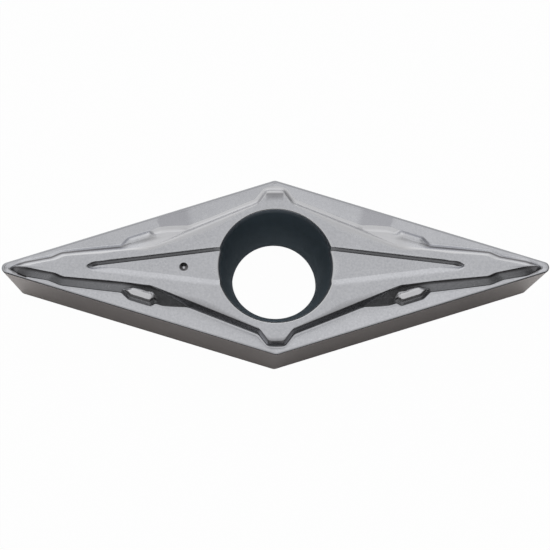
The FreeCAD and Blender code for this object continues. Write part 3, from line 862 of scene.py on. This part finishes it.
# %% Roughness, bump and shader
SATIN, GRAIN_DULLS = 0.20, 0.10
RELIEF_DEPTH, RELIEF_STRENGTH = 0.004 * MM, 0.15
DULLER = (("painted_highlight", 0.10), ("bore", 0.32), ("matted", 0.20))
dull = 0.0
for name, more in DULLER:
    dull = add(tree, "ShaderNodeMath", TIMES_PLUS, _0=masks[name], _1=more, _2=dull).outputs[0]
satin = add(tree, "ShaderNodeMath", TIMES_PLUS, _0=grain, _1=GRAIN_DULLS, _2=SATIN).outputs[0]
rough = add(tree, "ShaderNodeMath", {"operation": "ADD"}, _0=dull, _1=satin).outputs[0]
height = add(tree, "ShaderNodeMath", TIMES_PLUS, _0=lines, _1=masks["ground"], _2=grain).outputs[0]
relief = add(tree, "ShaderNodeBump", Strength=RELIEF_STRENGTH, Distance=RELIEF_DEPTH,
             Height=height).outputs[0]
shader = add(tree, "ShaderNodeBsdfPrincipled", Base_Color=colour, Metallic=1.0, Roughness=rough,
             Normal=relief)
add(tree, "ShaderNodeOutputMaterial", Surface=shader.outputs[0])
insert_mesh.materials.append(carbide)
print("nodes in the carbide:", len(tree.nodes))

# %% [markdown]
# ## Floor
# The insert was photographed on plain white. The floor is matt white paper that takes the object's
# shadow. The eye sees it almost burnt out, so camera rays see it mostly as plain white, while the metal
# is lit by the paper as it is. Only in mirrored rays does the paper grow bright, from 5 to 30 mm behind
# the insert, because the steep walls on the far side of the deck mirror it and are bright in the photo.

# %% Floor
HALF_FLOOR, UNDER_SEAT = 3.0, 0.02 * MM
LIT_FROM, LIT_TO, LIT_IN_MIRROR, SEEN_WHITE = 5 * MM, 30 * MM, 0.85, 0.98
floor_mesh = bpy.data.meshes.new("floor")
floor_mesh.from_pydata([(-HALF_FLOOR, -HALF_FLOOR, 0), (HALF_FLOOR, -HALF_FLOOR, 0),
                        (HALF_FLOOR, HALF_FLOOR, 0), (-HALF_FLOOR, HALF_FLOOR, 0)], [], [(0, 1, 2, 3)])
floor = bpy.data.objects.new("floor", floor_mesh)
bpy.context.scene.collection.objects.link(floor)
floor.location.z = -UNDER_SEAT
paper = bpy.data.materials.new("white_paper")
tree = new_tree(paper)
matte = add(tree, "ShaderNodeBsdfDiffuse", Color=linear("#F4F4F4"))
glow = add(tree, "ShaderNodeEmission", Color=linear("#FFFFFF"), Strength=1.0)
path = add(tree, "ShaderNodeLightPath")
spot = add(tree, "ShaderNodeTexCoord").outputs["Object"]
spot_back = add(tree, "ShaderNodeSeparateXYZ", Vector=spot).outputs[1]
lit = add(tree, "ShaderNodeMapRange", {"interpolation_type": "SMOOTHSTEP"}, Value=spot_back,
          From_Min=LIT_FROM, From_Max=LIT_TO, To_Min=0.0, To_Max=LIT_IN_MIRROR).outputs[0]
mirrored = add(tree, "ShaderNodeMath", TIMES, _0=path.outputs["Is Glossy Ray"], _1=lit).outputs[0]
seen = add(tree, "ShaderNodeMath", TIMES_PLUS, _0=path.outputs["Is Camera Ray"], _1=SEEN_WHITE,
           _2=mirrored).outputs[0]
mixed = add(tree, "ShaderNodeMixShader", _0=seen, _1=matte.outputs[0], _2=glow.outputs[0])
add(tree, "ShaderNodeOutputMaterial", Surface=mixed.outputs[0])
floor_mesh.materials.append(paper)
print("floor", 2 * HALF_FLOOR, "m wide")

# %% [markdown]
# ## Light
# The reflections tell how the studio was lit. Level faces and faces that lean away from the camera are
# bright, faces that lean towards it by more than about 18 degrees are dark: a broad soft light hangs
# overhead and behind, and the room on the camera's side is dark down to a paler strip near the table.
# So the world is a set of soft bands, given by the angle of a direction in the plane across the insert,
# from the horizon in front, over the zenith, to the horizon behind. Both ways sideways the light falls
# off, and more so to the right.

# %% World
BANDS = ((-90, 0.22), (-72, 0.21), (-58, 0.09), (-48, 0.03), (-25, 0.03), (-18, 0.48), (-11, 0.72),
         (0, 0.66), (8, 0.58), (25, 0.58), (36, 0.68), (50, 0.71), (62, 0.75), (90, 0.77))
SIDES = ((-1, 0.45), (-0.3, 1.0), (0.12, 1.0), (0.5, 0.55), (0.75, 0.28), (1, 0.28))
BRIGHTEST = 1.20
world = bpy.data.worlds.new("studio")
bpy.context.scene.world = world
tree = new_tree(world)
where = add(tree, "ShaderNodeTexCoord").outputs["Generated"]
to_right, to_back, upward = add(tree, "ShaderNodeSeparateXYZ", Vector=where).outputs
tipped = add(tree, "ShaderNodeMath", {"operation": "ARCTAN2"}, _0=to_back, _1=upward).outputs[0]
across = [(degrees / 360 + 0.5, level) for degrees, level in BANDS]
sideways = [(side / 2 + 0.5, level) for side, level in SIDES]
levels = []
for direction, per_unit, stops in ((tipped, 1 / math.tau, across), (to_right, 0.5, sideways)):
    share = add(tree, "ShaderNodeMath", TIMES_PLUS, _0=direction, _1=per_unit, _2=0.5).outputs[0]
    ramp = add(tree, "ShaderNodeValToRGB", Fac=share)
    elements = ramp.color_ramp.elements
    for k, (position, level) in enumerate(stops):
        element = elements[k] if k < 2 else elements.new(1.0)
        element.position = position
        element.color = (level, level, level, 1)
    levels.append(ramp.outputs[0])
light = add(tree, "ShaderNodeMath", TIMES, _0=levels[0], _1=levels[1]).outputs[0]
light = add(tree, "ShaderNodeMath", TIMES, _0=light, _1=BRIGHTEST).outputs[0]
seen = add(tree, "ShaderNodeLightPath").outputs["Is Camera Ray"]
strength = add(tree, "ShaderNodeMath", {"operation": "MAXIMUM"}, _0=light, _1=seen).outputs[0]
studio = add(tree, "ShaderNodeBackground", Color=linear("#FFFFFF"), Strength=strength)
add(tree, "ShaderNodeOutputWorld", Surface=studio.outputs[0])
print("bands of light:", len(BANDS))

# %% [markdown]
# ## Camera
# The photograph was taken through a long lens, from 75 degrees above the horizon and a little to the
# left. The angles were fitted to the outline of the insert.

# %% Camera
AZIMUTH, TILT, ROLL = math.radians(-6.015), math.radians(15.09), math.radians(-0.486)
DISTANCE, FRAME_PIXELS, PIXELS_PER_MM, SENSOR = 1.0, 550, 18.161, 36.0
CENTRE_RIGHT, CENTRE_UP = 0.033, 0.408
toward = Vector((math.sin(AZIMUTH) * math.sin(TILT), -math.cos(AZIMUTH) * math.sin(TILT), math.cos(TILT)))
level_up = (Vector((0, 1, 0)) - toward * toward.y).normalized()
level_right = level_up.cross(toward)
right = level_right * math.cos(ROLL) + level_up * math.sin(ROLL)
up = level_up * math.cos(ROLL) - level_right * math.sin(ROLL)
camera_data = bpy.data.cameras.new("long_lens")
camera_data.sensor_width = SENSOR
camera_data.lens = SENSOR * PIXELS_PER_MM / MM * DISTANCE / FRAME_PIXELS
camera_data.clip_start, camera_data.clip_end = 0.01, 10.0
camera = bpy.data.objects.new("long_lens", camera_data)
bpy.context.scene.collection.objects.link(camera)
middle = Vector((0, 0, THICKNESS * MM)) - right * (CENTRE_RIGHT * MM) - up * (CENTRE_UP * MM)
turn = Matrix((right, up, toward)).transposed().to_4x4()
camera.matrix_world = Matrix.Translation(middle + toward * DISTANCE) @ turn
bpy.context.scene.camera = camera
bpy.context.scene.view_settings.view_transform = "Standard"
print("lens in mm:", round(camera_data.lens, 1))
